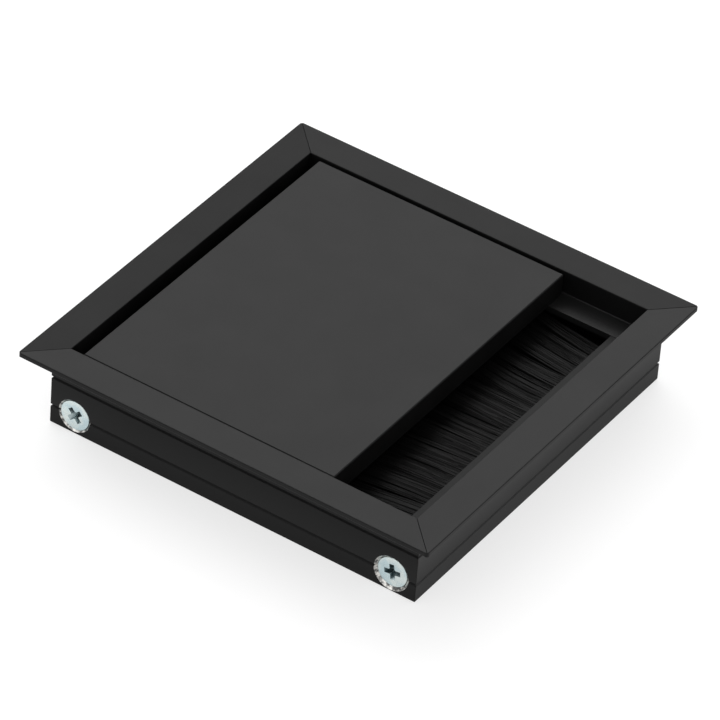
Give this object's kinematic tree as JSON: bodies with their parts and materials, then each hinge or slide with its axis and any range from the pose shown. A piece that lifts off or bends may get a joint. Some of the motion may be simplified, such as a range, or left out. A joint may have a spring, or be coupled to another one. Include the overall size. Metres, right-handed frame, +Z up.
{
  "type": "desk cable grommet",
  "caption": "Square drop-in desk cable grommet: mitred black aluminium frame with a wide flange, loose flush lid and a slot closed by a strip brush.",
  "frame": {"origin": "middle of the underside of the walls, on the level of their lower edges", "axes": "+X along the front from the lid's side to the brush's side, +Y towards the back, +Z up out of the desk"},
  "size_m": [0.1, 0.1, 0.0187],
  "materials": {
    "anodised_rails": "black matt anodised",
    "anodised_lid": "black matt anodised",
    "anodised_strips": "black matt anodised",
    "galvanised_strip": "galvanised",
    "core_wire": "drawn wire",
    "brush_filament": "black filament",
    "zinc_screws": "bright zinc plated"
  },
  "bodies": {
    "root": {"front_rail": "anodised_rails", "back_rail": "anodised_rails", "left_rail": "anodised_rails", "right_rail": "anodised_rails", "lid": "anodised_lid", "front_lid_rest": "anodised_strips", "back_lid_rest": "anodised_strips", "brush_holder": "anodised_strips", "brush_channel": "galvanised_strip", "brush_wire": "core_wire", "brush_bristles": "brush_filament", "front_left_screw": "zinc_screws", "front_right_screw": "zinc_screws", "back_left_screw": "zinc_screws", "back_right_screw": "zinc_screws"}
  },
  "joints": []
}
